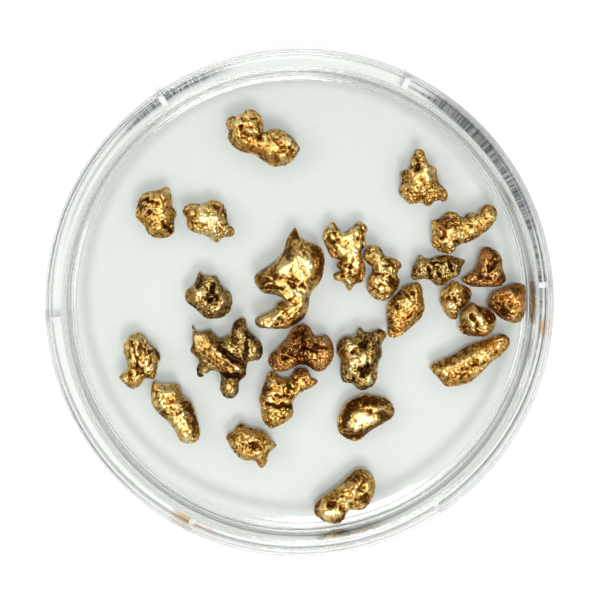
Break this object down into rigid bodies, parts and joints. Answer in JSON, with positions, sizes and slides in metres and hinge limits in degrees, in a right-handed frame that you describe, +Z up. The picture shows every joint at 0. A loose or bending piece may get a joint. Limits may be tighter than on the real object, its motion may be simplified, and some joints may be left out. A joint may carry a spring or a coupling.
{
  "type": "gold nugget sample dish",
  "caption": "Shallow round clear plastic sample dish with loose natural gold nuggets, standing in its upturned lid.",
  "frame": {"origin": "centre of the circle on which the lid rests", "axes": "+Z up out of the dish, +X to the right and +Y away from a person who looks down into it"},
  "size_m": [0.091, 0.091, 0.0156],
  "materials": {
    "clear_plastic": "gloss",
    "native_gold": "satin",
    "copper_rich_gold": "satin",
    "pale_gold": "satin",
    "weathered_gold": "satin"
  },
  "bodies": {
    "lid": {"lid": "clear_plastic"},
    "dish": {"dish": "clear_plastic"},
    "kidney_nugget": {"kidney_nugget": "native_gold"},
    "pear_nugget": {"pear_nugget": "native_gold"},
    "heel_nugget": {"heel_nugget": "native_gold"},
    "slab_nugget": {"slab_nugget": "native_gold"},
    "boot_nugget": {"boot_nugget": "native_gold"},
    "great_nugget": {"great_nugget": "pale_gold"},
    "star_nugget": {"star_nugget": "pale_gold"},
    "claw_nugget": {"claw_nugget": "pale_gold"},
    "leaf_nugget": {"leaf_nugget": "copper_rich_gold"},
    "olive_nugget": {"olive_nugget": "weathered_gold"},
    "wedge_nugget": {"wedge_nugget": "copper_rich_gold"},
    "block_nugget": {"block_nugget": "copper_rich_gold"},
    "bean_nugget": {"bean_nugget": "native_gold"},
    "tooth_nugget": {"tooth_nugget": "native_gold"},
    "finger_nugget": {"finger_nugget": "copper_rich_gold"},
    "knob_nugget": {"knob_nugget": "weathered_gold"},
    "branch_nugget": {"branch_nugget": "weathered_gold"},
    "crusty_nugget": {"crusty_nugget": "copper_rich_gold"},
    "hook_nugget": {"hook_nugget": "native_gold"},
    "pitted_nugget": {"pitted_nugget": "weathered_gold"},
    "half_moon_nugget": {"half_moon_nugget": "native_gold"},
    "clover_nugget": {"clover_nugget": "native_gold"},
    "tongue_nugget": {"tongue_nugget": "native_gold"},
    "berry_nugget": {"berry_nugget": "native_gold"},
    "peanut_nugget": {"peanut_nugget": "native_gold"}
  },
  "joints": [
    {"name": "dish_lift", "type": "slide", "parent": "lid", "child": "dish", "axis": [0, 0, 1], "range_m": [0, 0.03]},
    {"name": "kidney_lift", "type": "slide", "parent": "dish", "child": "kidney_nugget", "axis": [0, 0, 1], "range_m": [0, 0.03]},
    {"name": "pear_lift", "type": "slide", "parent": "dish", "child": "pear_nugget", "axis": [0, 0, 1], "range_m": [0, 0.03]},
    {"name": "heel_lift", "type": "slide", "parent": "dish", "child": "heel_nugget", "axis": [0, 0, 1], "range_m": [0, 0.03]},
    {"name": "slab_lift", "type": "slide", "parent": "dish", "child": "slab_nugget", "axis": [0, 0, 1], "range_m": [0, 0.03]},
    {"name": "boot_lift", "type": "slide", "parent": "dish", "child": "boot_nugget", "axis": [0, 0, 1], "range_m": [0, 0.03]},
    {"name": "great_lift", "type": "slide", "parent": "dish", "child": "great_nugget", "axis": [0, 0, 1], "range_m": [0, 0.03]},
    {"name": "star_lift", "type": "slide", "parent": "dish", "child": "star_nugget", "axis": [0, 0, 1], "range_m": [0, 0.03]},
    {"name": "claw_lift", "type": "slide", "parent": "dish", "child": "claw_nugget", "axis": [0, 0, 1], "range_m": [0, 0.03]},
    {"name": "leaf_lift", "type": "slide", "parent": "dish", "child": "leaf_nugget", "axis": [0, 0, 1], "range_m": [0, 0.03]},
    {"name": "olive_lift", "type": "slide", "parent": "dish", "child": "olive_nugget", "axis": [0, 0, 1], "range_m": [0, 0.03]},
    {"name": "wedge_lift", "type": "slide", "parent": "dish", "child": "wedge_nugget", "axis": [0, 0, 1], "range_m": [0, 0.03]},
    {"name": "block_lift", "type": "slide", "parent": "dish", "child": "block_nugget", "axis": [0, 0, 1], "range_m": [0, 0.03]},
    {"name": "bean_lift", "type": "slide", "parent": "dish", "child": "bean_nugget", "axis": [0, 0, 1], "range_m": [0, 0.03]},
    {"name": "tooth_lift", "type": "slide", "parent": "dish", "child": "tooth_nugget", "axis": [0, 0, 1], "range_m": [0, 0.03]},
    {"name": "finger_lift", "type": "slide", "parent": "dish", "child": "finger_nugget", "axis": [0, 0, 1], "range_m": [0, 0.03]},
    {"name": "knob_lift", "type": "slide", "parent": "dish", "child": "knob_nugget", "axis": [0, 0, 1], "range_m": [0, 0.03]},
    {"name": "branch_lift", "type": "slide", "parent": "dish", "child": "branch_nugget", "axis": [0, 0, 1], "range_m": [0, 0.03]},
    {"name": "crusty_lift", "type": "slide", "parent": "dish", "child": "crusty_nugget", "axis": [0, 0, 1], "range_m": [0, 0.03]},
    {"name": "hook_lift", "type": "slide", "parent": "dish", "child": "hook_nugget", "axis": [0, 0, 1], "range_m": [0, 0.03]},
    {"name": "pitted_lift", "type": "slide", "parent": "dish", "child": "pitted_nugget", "axis": [0, 0, 1], "range_m": [0, 0.03]},
    {"name": "half_moon_lift", "type": "slide", "parent": "dish", "child": "half_moon_nugget", "axis": [0, 0, 1], "range_m": [0, 0.03]},
    {"name": "clover_lift", "type": "slide", "parent": "dish", "child": "clover_nugget", "axis": [0, 0, 1], "range_m": [0, 0.03]},
    {"name": "tongue_lift", "type": "slide", "parent": "dish", "child": "tongue_nugget", "axis": [0, 0, 1], "range_m": [0, 0.03]},
    {"name": "berry_lift", "type": "slide", "parent": "dish", "child": "berry_nugget", "axis": [0, 0, 1], "range_m": [0, 0.03]},
    {"name": "peanut_lift", "type": "slide", "parent": "dish", "child": "peanut_nugget", "axis": [0, 0, 1], "range_m": [0, 0.03]}
  ]
}
